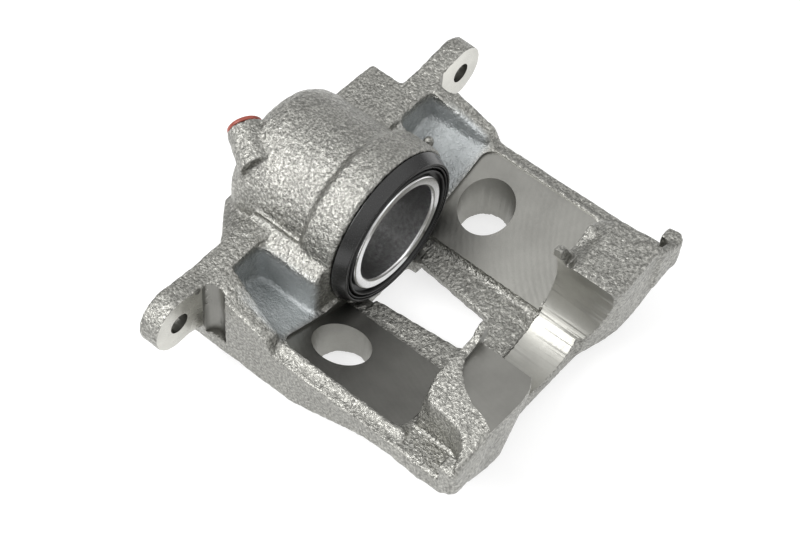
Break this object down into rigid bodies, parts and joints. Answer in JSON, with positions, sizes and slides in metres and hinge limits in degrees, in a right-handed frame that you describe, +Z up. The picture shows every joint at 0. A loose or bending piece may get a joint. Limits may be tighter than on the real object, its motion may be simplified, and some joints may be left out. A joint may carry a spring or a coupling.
{
  "type": "brake caliper housing assembly",
  "caption": "Floating brake caliper housing with its piston, dust boot, bleed screw and plugged fluid inlet, lying on its bridge with the open side up.",
  "frame": {"origin": "under the middle of the housing's bounding box, on the surface the housing lies on", "axes": "+X towards the right mounting ear, +Y from the fingers towards the closed end of the cylinder, +Z up out of the open side, towards the wheel's axle"},
  "size_m": [0.1954, 0.1598, 0.0755],
  "materials": {
    "cast_iron": "bright plated sand casting with milled faces",
    "piston_steel": "ground and chromed",
    "black_steel": "black coated",
    "rubber": "satin",
    "zinc_steel": "zinc plated",
    "red_plastic": "satin"
  },
  "bodies": {
    "housing": {"caliper_body": "cast_iron", "piston_seal": "rubber", "boot_retaining_ring": "black_steel", "dust_boot": "rubber"},
    "piston": {"piston": "piston_steel"},
    "bleed_screw": {"bleed_screw": "zinc_steel"},
    "bleed_screw_cap": {"bleed_screw_cap": "rubber"},
    "inlet_plug": {"inlet_plug": "red_plastic"}
  },
  "joints": [
    {"name": "piston_slide", "type": "slide", "parent": "housing", "child": "piston", "axis": [0, -1, 0], "range_m": [0, 0.028], "deforming": ["dust_boot"]},
    {"name": "bleed_screw_turn", "type": "hinge", "parent": "housing", "child": "bleed_screw", "pos_m": [0.046, 0.06155, 0.0225], "axis": [0, 0, -1], "range_deg": [0, 180]},
    {"name": "bleed_cap_pull", "type": "slide", "parent": "bleed_screw", "child": "bleed_screw_cap", "axis": [0, 0, -1], "range_m": [0, 0.014]},
    {"name": "inlet_plug_pull", "type": "slide", "parent": "housing", "child": "inlet_plug", "axis": [0.5013, 0.8521, 0.1504], "range_m": [0, 0.014]}
  ]
}
